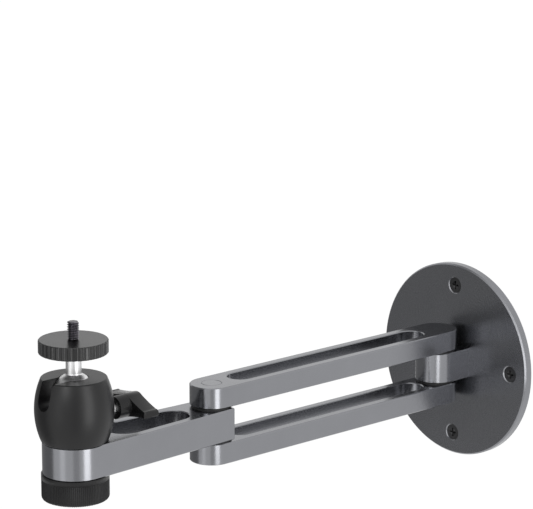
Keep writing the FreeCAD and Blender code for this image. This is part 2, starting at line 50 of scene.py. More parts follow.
# Stations of the mount
WALL_PIVOT_Y = -20.3 * MM
ELBOW_Y = -194.3 * MM
HEAD_Y = -288.3 * MM
WALL_SCREW_CIRCLE_RADIUS = 45.0 * MM
WALL_SCREW_FACE_Y = -4.95 * MM
HEAD_MIDDLE = Vector((0, HEAD_Y, 30.0 * MM))

# Threads; the cut margin is how far short of its thread a CAD piece is cut off
STUD_FOOT = 63.1 * MM
STUD_RADIUS = 3.175 * MM
STUD_PITCH = 1.27 * MM
STUD_LENGTH = 9.5 * MM
WALL_THREAD_RADIUS = 2.4 * MM
WALL_THREAD_LENGTH = 11.0 * MM
CUT_MARGIN = 0.02 * MM

# Merging of doubles in a copied CAD mesh and along a thread's seam
MERGE_DISTANCE = 0.001 * MM
SLIVER_LENGTH = 0.0005 * MM
SEAM_DISTANCE = 0.002 * MM

# Knurl of the clamp knob
KNURL_RADIUS = 17.65 * MM
KNURL_TOP = -11.5 * MM
KNURL_FOOT = -22.5 * MM
KNURL_COUNT = 108

# Wing knob, in its own plane: X along the wings, Z up, before it is tilted
HUB_RADIUS = 6.1 * MM
HUB_LENGTH = 7.2 * MM
WING_ROOT_RADIUS = 6.15 * MM
WING_ROOT_WRAP = math.radians(60)
WING_FLANK_HOLLOW = 0.25 * MM
WING_TIP_RADIUS = 1.95 * MM
WING_TIP_DISTANCE = 15.9 * MM
WING_TIP_WRAP = math.radians(70)
WING_INNER_CUT = 1.5 * MM
WING_TILT = math.radians(7.5)
WING_INSERT_RADIUS = 3.05 * MM
WING_INSERT_DEPTH = 8.05 * MM
WING_EDGE_RADIUS = 0.3 * MM
WING_EDGE_ANGLE = math.radians(28)
HUB_END_SINK = 1.0 * MM
INSERT_OVERRUN = 1.0 * MM

# Marks of the lathe tool
RING_HEIGHT = 0.002 * MM
RING_WOBBLE_PER_METRE = 900.0

# Studio: levels, where 1 is white in the picture, and places
WHITE = 1.0
WORLD_LIGHT = 0.5
FLOOR_GLOW = 0.62
FLOOR_REACH = 15.0
FLOOR_HEIGHT = -1.2
CARD_CORNER = (-0.65, -0.23)


# Node building

def put(tree, kind, inputs=None, **settings):
    """Adds a node; an input is a plain value or a (node, output) pair."""
    made = tree.nodes.new(kind)
    for name, value in settings.items():
        setattr(made, name, value)
    for key, value in (inputs or {}).items():
        if isinstance(value, tuple) and len(value) == 2 and hasattr(value[0], "outputs"):
            tree.links.new(value[0].outputs[value[1]], made.inputs[key])
        else:
            made.inputs[key].default_value = value
    return made


def maths(tree, operation, first, second=None, third=None, clamp=False):
    """A Math node, given as its (node, output) pair."""
    inputs = {0: first}
    if second is not None:
        inputs[1] = second
    if third is not None:
        inputs[2] = third
    made = put(tree, "ShaderNodeMath", inputs, operation=operation)
    made.use_clamp = clamp
    return made, 0


def new_group(name, kind, sockets):
    """A node group with named sockets, given as (in or out, name, type, value)."""
    tree = bpy.data.node_groups.new(name, kind)
    for way, label, socket_type, value in sockets:
        socket = tree.interface.new_socket(name=label, in_out=way, socket_type=socket_type)
        if value is not None:
            socket.default_value = value
    return tree, tree.nodes.new("NodeGroupInput"), tree.nodes.new("NodeGroupOutput")


# Shader groups

def build_blast_grain():
    """Fine grain of a blasted or moulded surface, with a slow change of tone over it."""
    tree, given, result = new_group("blast_grain", "ShaderNodeTree", [
        ("INPUT", "Vector", "NodeSocketVector", None),
        ("INPUT", "Grain Per Metre", "NodeSocketFloat", 3200.0),
        ("INPUT", "Tone Per Metre", "NodeSocketFloat", 42.0),
        ("OUTPUT", "Height", "NodeSocketFloat", None),
        ("OUTPUT", "Speck", "NodeSocketFloat", None),
        ("OUTPUT", "Tone", "NodeSocketFloat", None),
    ])
    grain = {"Vector": (given, "Vector"), "Scale": (given, "Grain Per Metre")}
    fine = put(tree, "ShaderNodeTexNoise", {**grain, "Detail": 2.0, "Roughness": 0.6})
    pits = put(tree, "ShaderNodeTexVoronoi", grain)
    slow = put(tree, "ShaderNodeTexNoise", {"Vector": (given, "Vector"), "Scale": (given, "Tone Per Metre"),
                                            "Detail": 3.0, "Roughness": 0.55})
    height = maths(tree, "MULTIPLY_ADD", (pits, "Distance"), 0.6, (fine, "Fac"))
    speck = put(tree, "ShaderNodeMapRange", {"Value": (fine, "Fac"), "From Min": 0.35, "From Max": 0.65})
    tone = put(tree, "ShaderNodeMapRange", {"Value": (slow, "Fac"), "From Min": 0.3, "From Max": 0.7})
    tree.links.new(height[0].outputs[0], result.inputs["Height"])
    tree.links.new(speck.outputs["Result"], result.inputs["Speck"])
    tree.links.new(tone.outputs["Result"], result.inputs["Tone"])
    return tree


def build_edge_wear():
    """Mask of the outer edges, broken up as handling rubs them."""
    tree, given, result = new_group("edge_wear", "ShaderNodeTree", [
        ("INPUT", "Vector", "NodeSocketVector", None),
        ("INPUT", "Edge Width", "NodeSocketFloat", 0.3 * MM),
        ("INPUT", "Patches Per Metre", "NodeSocketFloat", 260.0),
        ("INPUT", "Least", "NodeSocketFloat", 0.25),
        ("OUTPUT", "Wear", "NodeSocketFloat", None),
    ])
    rounded = put(tree, "ShaderNodeBevel", {"Radius": (given, "Edge Width")}, samples=4)
    face = put(tree, "ShaderNodeNewGeometry")
    along = put(tree, "ShaderNodeVectorMath", {0: (rounded, "Normal"), 1: (face, "Normal")},
                operation="DOT_PRODUCT")
    edge = put(tree, "ShaderNodeMapRange", {"Value": (along, "Value"), "From Min": 0.995, "From Max": 0.9})
    patch = put(tree, "ShaderNodeTexNoise", {
        "Vector": (given, "Vector"), "Scale": (given, "Patches Per Metre"), "Detail": 3.0,
    })
    broken = put(tree, "ShaderNodeMapRange", {"Value": (patch, "Fac"), "From Min": 0.42, "From Max": 0.62,
                                              "To Min": (given, "Least"), "To Max": 1.0})
    wear = maths(tree, "MULTIPLY", (edge, "Result"), (broken, "Result"), clamp=True)
    tree.links.new(wear[0].outputs[0], result.inputs["Wear"])
    return tree


def build_turned_rings():
    """Fine rings round the Z axis of its vector, as a lathe tool leaves them."""
    tree, given, result = new_group("turned_rings", "ShaderNodeTree", [
        ("INPUT", "Vector", "NodeSocketVector", None),
        ("INPUT", "Ring Pitch", "NodeSocketFloat", 0.12 * MM),
        ("OUTPUT", "Height", "NodeSocketFloat", None),
    ])
    flat = put(tree, "ShaderNodeVectorMath", {0: (given, "Vector"), 1: (1.0, 1.0, 0.0)}, operation="MULTIPLY")
    radius = put(tree, "ShaderNodeVectorMath", {0: (flat, "Vector")}, operation="LENGTH")
    wobble = put(tree, "ShaderNodeTexNoise", {"Vector": (given, "Vector"), "Scale": RING_WOBBLE_PER_METRE,
                                              "Detail": 1.0})
    turn = maths(tree, "DIVIDE", (radius, "Value"), (given, "Ring Pitch"))
    phase = maths(tree, "MULTIPLY_ADD", turn, 2 * math.pi, (wobble, "Fac"))
    wave = maths(tree, "SINE", phase)
    tree.links.new(wave[0].outputs[0], result.inputs["Height"])
    return tree


def build_sunk_shade():
    """Mask of what lies behind a front plane across Y, such as the recess in a screw's face; the finishes use
    it to place painted shade there.
    """
    tree, given, result = new_group("sunk_shade", "ShaderNodeTree", [
        ("INPUT", "Vector", "NodeSocketVector", None),
        ("INPUT", "Front Y", "NodeSocketFloat", WALL_SCREW_FACE_Y),
        ("INPUT", "Depth", "NodeSocketFloat", 0.5 * MM),
        ("OUTPUT", "Shade", "NodeSocketFloat", None),
    ])
    split = put(tree, "ShaderNodeSeparateXYZ", {0: (given, "Vector")})
    behind = maths(tree, "SUBTRACT", (split, "Y"), (given, "Front Y"))
    shade = maths(tree, "DIVIDE", behind, (given, "Depth"), clamp=True)
    tree.links.new(shade[0].outputs[0], result.inputs["Shade"])
    return tree


BLAST_GRAIN = build_blast_grain()
EDGE_WEAR = build_edge_wear()
TURNED_RINGS = build_turned_rings()
SUNK_SHADE = build_sunk_shade()


# Materials

def finish_material(name, colour, worn_colour, metallic, roughness, grain, tone_per_metre, grain_height,
                    tone_depth=0.06, wear=0.5, least_wear=0.25, edge_width=0.3 * MM, polish=0.06, ior=1.5,
                    ring_pitch=None, ring_axis_y=0.0, painted_recess_shade=None):
    """A machined, blasted or moulded finish: tone, specks, worn edges, grain and turning marks.

    Grain and tone are counts per metre. The rings run round an upright axis, and a dark colour
    painted behind the wall screws' faces stands in for the shade in their recesses.
    """
    made = bpy.data.materials.new(name)
    made.use_nodes = True
    tree = made.node_tree
    shader = tree.nodes["Principled BSDF"]
    place = put(tree, "ShaderNodeTexCoord")
    surface = put(tree, "ShaderNodeGroup", {"Vector": (place, "Object"), "Grain Per Metre": grain,
                                            "Tone Per Metre": tone_per_metre}, node_tree=BLAST_GRAIN)
    edges = put(tree, "ShaderNodeGroup", {"Vector": (place, "Object"), "Edge Width": edge_width,
                                          "Least": least_wear}, node_tree=EDGE_WEAR)

    darker = tuple(c * (1 - tone_depth) for c in colour) + (1,)
    lighter = tuple(min(1.0, c * (1 + tone_depth)) for c in colour) + (1,)
    paint = put(tree, "ShaderNodeMix", {"Factor": (surface, "Tone"), "A": darker, "B": lighter},
                data_type="RGBA")
    rubbed = maths(tree, "MULTIPLY", (edges, "Wear"), wear)
    paint = put(tree, "ShaderNodeMix", {"Factor": rubbed, "A": (paint, "Result"), "B": (*worn_colour, 1)},
                data_type="RGBA")
    # Painted shade: the sunk colour darkens all that lies behind the wall screws' faces, their recesses
    # included
    if painted_recess_shade:
        sunk = put(tree, "ShaderNodeGroup", {"Vector": (place, "Object")}, node_tree=SUNK_SHADE)
        paint = put(tree, "ShaderNodeMix", {"Factor": (sunk, "Shade"), "A": (paint, "Result"),
                                            "B": (*painted_recess_shade, 1)}, data_type="RGBA")
    tree.links.new(paint.outputs["Result"], shader.inputs["Base Color"])

    gloss = put(tree, "ShaderNodeMapRange", {"Value": (surface, "Speck"), "To Min": roughness - polish / 2,
                                             "To Max": roughness + polish / 2})
    rough = maths(tree, "MULTIPLY_ADD", rubbed, -polish, (gloss, "Result"), clamp=True)
    tree.links.new(rough[0].outputs[0], shader.inputs["Roughness"])

    bump = put(tree, "ShaderNodeBump", {"Height": (surface, "Height"), "Distance": grain_height,
                                        "Strength": 1.0})
    if ring_pitch:
        centred = put(tree, "ShaderNodeMapping", {"Vector": (place, "Object"),
                                                  "Location": (0, -ring_axis_y, 0)}, vector_type="POINT")
        marks = put(tree, "ShaderNodeGroup", {"Vector": (centred, "Vector"), "Ring Pitch": ring_pitch},
                    node_tree=TURNED_RINGS)
        bump = put(tree, "ShaderNodeBump", {"Height": (marks, "Height"), "Distance": RING_HEIGHT,
                                            "Strength": 1.0, "Normal": (bump, "Normal")})
    tree.links.new(bump.outputs["Normal"], shader.inputs["Normal"])
    shader.inputs["Metallic"].default_value = metallic
    shader.inputs["IOR"].default_value = ior
    return made


ARM_METAL = dict(colour=(0.250, 0.254, 0.270), worn_colour=(0.42, 0.42, 0.43), metallic=1.0, roughness=0.22,
                 grain=3200.0, tone_per_metre=38.0, grain_height=0.0012 * MM, tone_depth=0.03, wear=0.6)
PLATE_METAL = dict(ARM_METAL, roughness=0.28, grain=3000.0, tone_per_metre=30.0,
                   grain_height=0.0009 * MM, wear=0.3)
BLACK_ANODISED = dict(colour=(0.007, 0.007, 0.0075), worn_colour=(0.05, 0.05, 0.052), metallic=0.0,
                      roughness=0.36, grain=3600.0, tone_per_metre=60.0, grain_height=0.0012 * MM,
                      tone_depth=0.1, wear=0.3, ior=1.42)
BLACK_OXIDE = dict(colour=(0.045, 0.045, 0.047), worn_colour=(0.2, 0.2, 0.205), metallic=1.0, roughness=0.36,
                   grain=4200.0, tone_per_metre=160.0, grain_height=0.001 * MM, tone_depth=0.15, wear=0.5,
                   edge_width=0.15 * MM)
RING_ANODISED = dict(BLACK_ANODISED, roughness=0.30, ior=1.55, wear=0.7, worn_colour=(0.09, 0.09, 0.092))
# Black oxide of the wall screws, with painted shade behind their faces: in the cross recesses and along the
# shanks
SCREW_OXIDE_AND_PAINTED_SHADE = dict(BLACK_OXIDE, colour=(0.085, 0.085, 0.088), wear=0.15, painted_recess_shade=(0.012, 0.012, 0.012))
STUD_OXIDE = dict(BLACK_OXIDE, colour=(0.075, 0.070, 0.084), worn_colour=(0.75, 0.73, 0.78), roughness=0.26,
                  wear=1.0, least_wear=0.7)
CHROME = dict(colour=(0.80, 0.80, 0.805), worn_colour=(0.9, 0.9, 0.9), metallic=1.0, roughness=0.2,
              grain=2500.0, tone_per_metre=90.0, grain_height=0.0001 * MM, tone_depth=0.02, wear=0.2,
              polish=0.03)
SATIN_CHROME = dict(CHROME, roughness=0.36)
GROUND_STEEL = dict(colour=(0.33, 0.33, 0.34), worn_colour=(0.5, 0.5, 0.5), metallic=1.0, roughness=0.24,
                    grain=3800.0, tone_per_metre=120.0, grain_height=0.0006 * MM, tone_depth=0.05, wear=0.4,
                    edge_width=0.2 * MM)
MOULDED_BLACK = dict(colour=(0.009, 0.009, 0.0095), worn_colour=(0.04, 0.04, 0.042), metallic=0.0,
                     roughness=0.42, grain=2600.0, tone_per_metre=80.0, grain_height=0.003 * MM,
                     tone_depth=0.12, wear=0.25, ior=1.38)
MOULDED_WING = dict(MOULDED_BLACK, roughness=0.24)
NYLON = dict(colour=(0.014, 0.014, 0.015), worn_colour=(0.04, 0.04, 0.042), metallic=0.0, roughness=0.5,
             grain=1800.0, tone_per_metre=110.0, grain_height=0.002 * MM, tone_depth=0.12, wear=0.2,
             edge_width=0.15 * MM)


def turned(finish, ring_pitch, ring_axis_y):
    """A finish with turning marks round an upright axis."""
    return dict(finish, ring_pitch=ring_pitch, ring_axis_y=ring_axis_y)


MATERIALS = {
    "wall_plate": finish_material("plate_anodised", **PLATE_METAL),
    "wall_knuckle": finish_material("knuckle_anodised", **ARM_METAL),
    "long_arm_upper": finish_material("upper_arm_anodised", **ARM_METAL),
    "long_arm_lower": finish_material("lower_arm_anodised", **ARM_METAL),
    "short_arm": finish_material("short_arm_anodised", **ARM_METAL),
    "knuckle_screws": finish_material("knuckle_screw_oxide", **BLACK_OXIDE),
    "wall_screws": finish_material("wall_screw_oxide_and_painted_shade", **SCREW_OXIDE_AND_PAINTED_SHADE),
    "wall_pivot_screw": finish_material("pivot_screw_oxide", **turned(BLACK_OXIDE, 0.1 * MM, WALL_PIVOT_Y)),
    "elbow_screw": finish_material("elbow_screw_oxide", **turned(BLACK_OXIDE, 0.1 * MM, ELBOW_Y)),
    "elbow_pin": finish_material("elbow_pin_faced", **turned(ARM_METAL, 0.12 * MM, ELBOW_Y)),
    "clamp_bolt": finish_material("clamp_bolt_ground", **turned(GROUND_STEEL, 0.12 * MM, HEAD_Y)),
    "ball_housing": finish_material("housing_black_anodised", **turned(BLACK_ANODISED, 0.14 * MM, HEAD_Y)),
    "base_plug": finish_material("plug_black_anodised", **turned(BLACK_ANODISED, 0.14 * MM, HEAD_Y)),
    "lock_ring": finish_material("lock_ring_black_anodised", **turned(RING_ANODISED, 0.14 * MM, HEAD_Y)),
    "ball_stem": finish_material("stem_satin_chrome", **SATIN_CHROME),
    "wing_screw": finish_material("wing_screw_chrome", **CHROME),
    "mounting_stud": finish_material("stud_black_oxide", **STUD_OXIDE),
    "wing_knob": finish_material("wing_moulded_black", **MOULDED_WING),
    "bottom_knob": finish_material("clamp_knob_moulded_black", **MOULDED_BLACK),
    "ball_cup": finish_material("cup_nylon", **NYLON),
}
WASHER_NYLON = finish_material("washer_nylon", **NYLON)
for washer in ("wall_washer_upper", "wall_washer_lower", "elbow_washer_upper", "elbow_washer_lower"):
    MATERIALS[washer] = WASHER_NYLON


# Geometry Nodes

def build_threaded_rod():
    """A threaded rod on each given point, along its turned Z axis; the values given here are the stud's.

    A grid is rolled up with a climb of one pitch a turn. Its spare turns are flattened onto the two
    ends, where the radius runs in to nothing and so closes the rod.
    """
    tree, given, result = new_group("threaded_rod", "GeometryNodeTree", [
        ("INPUT", "Geometry", "NodeSocketGeometry", None),
        ("OUTPUT", "Geometry", "NodeSocketGeometry", None),
        ("INPUT", "Outer Radius", "NodeSocketFloat", STUD_RADIUS),
        ("INPUT", "Thread Depth", "NodeSocketFloat", 0.85 * MM),
        ("INPUT", "Pitch", "NodeSocketFloat", STUD_PITCH),
        ("INPUT", "Length", "NodeSocketFloat", STUD_LENGTH),
        ("INPUT", "Foot Radius", "NodeSocketFloat", 2.3 * MM),
        ("INPUT", "Foot Taper", "NodeSocketFloat", 0.5 * MM),
        ("INPUT", "Tip Radius", "NodeSocketFloat", 2.5 * MM),
        ("INPUT", "Tip Taper", "NodeSocketFloat", 0.5 * MM),
        ("INPUT", "Segments", "NodeSocketInt", 56),
        ("INPUT", "Turn", "NodeSocketRotation", None),
        ("INPUT", "Material", "NodeSocketMaterial", None),
    ])
    tree.is_modifier = True
    rows_per_turn = 8.0
    spare_turns = 3.0
    turns_below_foot = 2.0
    flat_share = 0.1
    phase_nudge = 0.001
    turns_in_length = maths(tree, "DIVIDE", (given, "Length"), (given, "Pitch"))
    turns = maths(tree, "CEIL", maths(tree, "ADD", turns_in_length, spare_turns))
    rows = maths(tree, "MULTIPLY", turns, rows_per_turn)
    height = maths(tree, "MULTIPLY", turns, (given, "Pitch"))
    grid = put(tree, "GeometryNodeMeshGrid", {
        "Size X": 1.0, "Size Y": height,
        "Vertices X": maths(tree, "ADD", (given, "Segments"), 1.0),
        "Vertices Y": maths(tree, "ADD", rows, 1.0),
    })
    spot = put(tree, "GeometryNodeInputPosition")
    split = put(tree, "ShaderNodeSeparateXYZ", {0: (spot, 0)})
    round_share = maths(tree, "ADD", (split, "X"), 0.5)
    angle = maths(tree, "MULTIPLY", round_share, 2 * math.pi)
    up = maths(tree, "MULTIPLY_ADD", height, 0.5, (split, "Y"))
    climb = maths(tree, "MULTIPLY", round_share, (given, "Pitch"))
    above = maths(tree, "MULTIPLY_ADD", (given, "Pitch"), -turns_below_foot, maths(tree, "ADD", up, climb))
    turn_number = maths(tree, "DIVIDE", up, (given, "Pitch"))
    phase = maths(tree, "FRACT", maths(tree, "ADD", turn_number, phase_nudge))
    ridge = maths(tree, "ABSOLUTE", maths(tree, "MULTIPLY_ADD", phase, 2.0, -1.0))
    flank = put(tree, "ShaderNodeMapRange", {"Value": ridge, "From Min": flat_share,
                                             "From Max": 1 - flat_share})
    groove = maths(tree, "MULTIPLY", (flank, "Result"), (given, "Thread Depth"))
    crest = maths(tree, "SUBTRACT", (given, "Outer Radius"), groove)

    def taper(along, end_radius, length):
        """Radius that an end's taper allows; it runs in to nothing one pitch outside the end."""
        rise = maths(tree, "SUBTRACT", (given, "Outer Radius"), (given, end_radius))
        slope = maths(tree, "DIVIDE", rise, (given, length))
        inside = maths(tree, "MULTIPLY_ADD", maths(tree, "MAXIMUM", along, 0.0), slope, (given, end_radius))
        outside = maths(tree, "DIVIDE", maths(tree, "MINIMUM", along, 0.0), (given, "Pitch"))
        closing = maths(tree, "ADD", outside, 1.0, clamp=True)
        return maths(tree, "MULTIPLY", inside, closing)

    from_tip = maths(tree, "SUBTRACT", (given, "Length"), above)
    foot_limit = taper(above, "Foot Radius", "Foot Taper")
    tip_limit = taper(from_tip, "Tip Radius", "Tip Taper")
    ends = maths(tree, "MINIMUM", foot_limit, tip_limit)
    radius = maths(tree, "MINIMUM", crest, ends)
    z = maths(tree, "MINIMUM", maths(tree, "MAXIMUM", above, 0.0), (given, "Length"))
    place = put(tree, "ShaderNodeCombineXYZ", {
        "X": maths(tree, "MULTIPLY", maths(tree, "COSINE", angle), radius),
        "Y": maths(tree, "MULTIPLY", maths(tree, "SINE", angle), radius),
        "Z": z,
    })
    bent = put(tree, "GeometryNodeSetPosition", {"Geometry": (grid, "Mesh"), "Position": (place, 0)})
    closed = put(tree, "GeometryNodeMergeByDistance", {"Geometry": (bent, 0), "Distance": SEAM_DISTANCE})
    copies = put(tree, "GeometryNodeInstanceOnPoints", {
        "Points": (given, "Geometry"), "Instance": (closed, 0), "Rotation": (given, "Turn"),
    })
    real = put(tree, "GeometryNodeRealizeInstances", {"Geometry": (copies, 0)})
    dressed = put(tree, "GeometryNodeSetMaterial", {"Geometry": (real, 0), "Material": (given, "Material")})
    tree.links.new(dressed.outputs[0], result.inputs["Geometry"])
    return tree


def build_knurled_grip():
    """Adds straight round ribs to a knob's grip; they follow its side and run out round its foot."""
    tree, given, result = new_group("knurled_grip", "GeometryNodeTree", [
        ("INPUT", "Geometry", "NodeSocketGeometry", None),
        ("OUTPUT", "Geometry", "NodeSocketGeometry", None),
        ("INPUT", "Rib Count", "NodeSocketInt", KNURL_COUNT),
        ("INPUT", "Grip Radius", "NodeSocketFloat", KNURL_RADIUS),
        ("INPUT", "Rib Radius", "NodeSocketFloat", 0.5 * MM),
        ("INPUT", "Rib Sink", "NodeSocketFloat", 0.28 * MM),
        ("INPUT", "Top", "NodeSocketFloat", KNURL_TOP),
        ("INPUT", "Foot", "NodeSocketFloat", KNURL_FOOT),
        ("INPUT", "Foot Radius", "NodeSocketFloat", 1.6 * MM),
        ("INPUT", "Foot Wrap", "NodeSocketFloat", math.radians(62)),
        ("INPUT", "Axis Y", "NodeSocketFloat", HEAD_Y),
        ("INPUT", "Material", "NodeSocketMaterial", None),
    ])
    tree.is_modifier = True
    points_along = 7
    rib_sides = 8
    line = put(tree, "GeometryNodeMeshLine", {"Count": points_along, "Offset": (0.0, 0.0, 1.0)})
    index = put(tree, "GeometryNodeInputIndex")
    share = maths(tree, "DIVIDE", (index, 0), float(points_along - 1))
    turn_share = maths(tree, "MAXIMUM", maths(tree, "MULTIPLY_ADD", share, 2.0, -1.0), 0.0)
    turn = maths(tree, "MULTIPLY", turn_share, (given, "Foot Wrap"))
    centre = maths(tree, "SUBTRACT", (given, "Grip Radius"), (given, "Rib Sink"))
    bend = maths(tree, "SUBTRACT", (given, "Foot Radius"), (given, "Rib Sink"))
    inwards = maths(tree, "MULTIPLY", bend, maths(tree, "SUBTRACT", 1.0, maths(tree, "COSINE", turn)))
    straight_foot = maths(tree, "ADD", (given, "Foot"), (given, "Foot Radius"))
    run = maths(tree, "MULTIPLY", share, 2.0, clamp=True)
    drop = maths(tree, "MULTIPLY", maths(tree, "SUBTRACT", straight_foot, (given, "Top")), run)
    fall = maths(tree, "MULTIPLY", bend, maths(tree, "SINE", turn))
    place = put(tree, "ShaderNodeCombineXYZ", {
        "X": maths(tree, "SUBTRACT", centre, inwards),
        "Y": 0.0,
        "Z": maths(tree, "SUBTRACT", maths(tree, "ADD", (given, "Top"), drop), fall),
    })
    bent = put(tree, "GeometryNodeSetPosition", {"Geometry": (line, "Mesh"), "Position": (place, 0)})
    path = put(tree, "GeometryNodeMeshToCurve", {"Mesh": (bent, 0)})
    section = put(tree, "GeometryNodeCurvePrimitiveCircle", {"Resolution": rib_sides,
                                                             "Radius": (given, "Rib Radius")})
    rib = put(tree, "GeometryNodeCurveToMesh", {"Curve": (path, 0), "Profile Curve": (section, 0),
                                                "Fill Caps": True})
    # The circle gives one point for each rib, and all of them are then gathered on the axis
    ring = put(tree, "GeometryNodeMeshCircle", {"Vertices": (given, "Rib Count"), "Radius": 1.0 * MM})
    rib_number = put(tree, "GeometryNodeInputIndex")
    ring_share = maths(tree, "DIVIDE", (rib_number, 0), (given, "Rib Count"))
    facing = put(tree, "ShaderNodeCombineXYZ", {"Z": maths(tree, "MULTIPLY", ring_share, 2 * math.pi)})
    on_axis = put(tree, "ShaderNodeCombineXYZ", {"Y": (given, "Axis Y")})
    gathered = put(tree, "GeometryNodeSetPosition", {"Geometry": (ring, "Mesh"), "Position": (on_axis, 0)})
    copies = put(tree, "GeometryNodeInstanceOnPoints", {"Points": (gathered, 0), "Instance": (rib, 0),
                                                        "Rotation": (facing, 0)})
    whole = put(tree, "GeometryNodeJoinGeometry")
    tree.links.new(given.outputs["Geometry"], whole.inputs[0])
    tree.links.new(copies.outputs[0], whole.inputs[0])
    real = put(tree, "GeometryNodeRealizeInstances", {"Geometry": (whole, 0)})
    dressed = put(tree, "GeometryNodeSetMaterial", {"Geometry": (real, 0), "Material": (given, "Material")})
    tree.links.new(dressed.outputs[0], result.inputs["Geometry"])
    return tree


def grown(name, start_mesh, tree, **values):
    """The mesh that a geometry node tree makes of the start mesh."""
    carrier = bpy.data.objects.new(name + "_grow", start_mesh)
    bpy.context.scene.collection.objects.link(carrier)
    modifier = carrier.modifiers.new("grow", "NODES")
    modifier.node_group = tree
    named = {item.name: item.identifier for item in tree.interface.items_tree
             if item.item_type == "SOCKET" and item.in_out == "INPUT"}
    for label, value in values.items():
        modifier[named[label.replace("_", " ").title()]] = value
    carrier.update_tag()
    bpy.context.view_layer.update()
    graph = bpy.context.evaluated_depsgraph_get()
    mesh = bpy.data.meshes.new_from_object(carrier.evaluated_get(graph))
    carrier.modifiers.clear()
    bpy.data.objects.remove(carrier)
    return mesh


def add_piece(name, mesh):
    """A new object in the scene, with its mesh named as it is."""
    mesh.name = name
    made = bpy.data.objects.new(name, mesh)
    bpy.context.scene.collection.objects.link(made)
    return made


def merged_copy(node):
    """A CAD node's mesh as one bmesh with its doubles merged."""
    work = bmesh.new()
    work.from_mesh(bpy.data.objects[node].data)
    bmesh.ops.remove_doubles(work, verts=work.verts, dist=MERGE_DISTANCE)
    bmesh.ops.dissolve_degenerate(work, dist=SLIVER_LENGTH, edges=work.edges)
    return work


def cut_away(work, place, way):
    """Removes what lies beyond a plane and closes the cut."""
    everything = list(work.verts) + list(work.edges) + list(work.faces)
    cut = bmesh.ops.bisect_plane(work, geom=everything, plane_co=place, plane_no=way, clear_outer=True)
    rims = [e for e in cut["geom_cut"] if isinstance(e, bmesh.types.BMEdge)]
    bmesh.ops.holes_fill(work, edges=rims, sides=0)


def as_mesh(work, name):
    """A bmesh turned into a mesh, and freed."""
    mesh = bpy.data.meshes.new(name)
    work.to_mesh(mesh)
    work.free()
    return mesh


def points_mesh(name, places):
    """A mesh of loose points."""
    mesh = bpy.data.meshes.new(name)
    mesh.from_pydata([tuple(p) for p in places], [], [])
    return mesh


def joined(name, meshes, material, sharp_degrees=35):
    """One mesh from several, smooth except across edges sharper than the given angle."""
    work = bmesh.new()
    for mesh in meshes:
        work.from_mesh(mesh)
    whole = as_mesh(work, name)
    whole.materials.clear()
    whole.materials.append(material)
    for face in whole.polygons:
        face.material_index = 0
    whole.shade_smooth()
    whole.set_sharp_from_angle(angle=math.radians(sharp_degrees))
    return whole


# Pieces

THREADED_ROD = build_threaded_rod()
KNURLED_GRIP = build_knurled_grip()


def build_stud():
    """The stud: its seated end as the CAD has it, its free end with a real thread."""
    seated = merged_copy("mounting_stud")
    cut_away(seated, (0, 0, STUD_FOOT - CUT_MARGIN), (0, 0, 1))
    material = MATERIALS["mounting_stud"]
    rod = grown("stud_thread", points_mesh("stud_place", [(0, HEAD_Y, STUD_FOOT)]), THREADED_ROD,
                material=material)
    stud = add_piece("threaded_stud", joined("threaded_stud", [as_mesh(seated, "seated"), rod], material))
    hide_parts("mounting_stud")
    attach(stud, "ball_stem")


def build_wall_screws():
    """The four wall screws: heads and necks as the CAD has them, with threads and points behind the wall."""
    heads = merged_copy("wall_screws")
    cut_away(heads, (0, -CUT_MARGIN, 0), (0, 1, 0))
    radius = WALL_SCREW_CIRCLE_RADIUS
    places = [(0, 0, radius), (radius, 0, 0), (0, 0, -radius), (-radius, 0, 0)]
    material = MATERIALS["wall_screws"]
    rods = grown("wall_threads", points_mesh("wall_screw_places", places), THREADED_ROD,
                 outer_radius=WALL_THREAD_RADIUS, thread_depth=0.75 * MM, pitch=1.8 * MM,
                 length=WALL_THREAD_LENGTH, foot_radius=1.6 * MM, foot_taper=1.2 * MM, tip_radius=0.35 * MM,
                 tip_taper=4.5 * MM, segments=36, turn=(math.radians(-90), 0, 0), material=material)
    whole = joined("wall_screws_threaded", [as_mesh(heads, "heads"), rods], material)
    screws = add_piece("wall_screws_threaded", whole)
    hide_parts("wall_screws")
    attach(screws, "wall_base")


def build_clamp_knob():
    """The round clamp knob with a fine straight knurl on its grip."""
    body = as_mesh(merged_copy("bottom_knob"), "knob_body")
    material = MATERIALS["bottom_knob"]
    ribbed = grown("knurl", body, KNURLED_GRIP, material=material)
    knob = add_piece("knurled_knob", joined("knurled_knob", [ribbed], material, sharp_degrees=40))
    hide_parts("bottom_knob")
    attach(knob, "clamp_knob")


def wing_outline():
    """Both wings seen along their axis: a round root, nearly straight flanks and round tips."""
    root_steps, flank_steps, tip_steps = 3, 12, 8
    quarter = []
    for step in range(root_steps + 1):
        angle = math.pi / 2 + (WING_ROOT_WRAP - math.pi / 2) * step / root_steps
        quarter.append(Vector((math.cos(angle), 0, math.sin(angle))) * WING_ROOT_RADIUS)
    shoulder = quarter[-1]
    flank_end = Vector((WING_TIP_DISTANCE - WING_TIP_RADIUS * math.cos(WING_TIP_WRAP), 0,
                        WING_TIP_RADIUS * math.sin(WING_TIP_WRAP)))
    inwards = (flank_end - shoulder).cross(Vector((0, -1, 0))).normalized()
    for step in range(1, flank_steps):
        share = step / flank_steps
        hollow = WING_FLANK_HOLLOW * 4 * share * (1 - share)
        quarter.append(shoulder.lerp(flank_end, share) + inwards * hollow)
    for step in range(tip_steps + 1):
        angle = (math.pi - WING_TIP_WRAP) * (1 - step / tip_steps)
        quarter.append(Vector((WING_TIP_DISTANCE + WING_TIP_RADIUS * math.cos(angle), 0,
                               WING_TIP_RADIUS * math.sin(angle))))
    outline = []
    for side, rise, forward in ((1, 1, True), (1, -1, False), (-1, -1, True), (-1, 1, False)):
        way = quarter if forward else quarter[::-1]
        outline += [Vector((side * p.x, 0, rise * p.z)) for p in way[:-1]]
    return outline


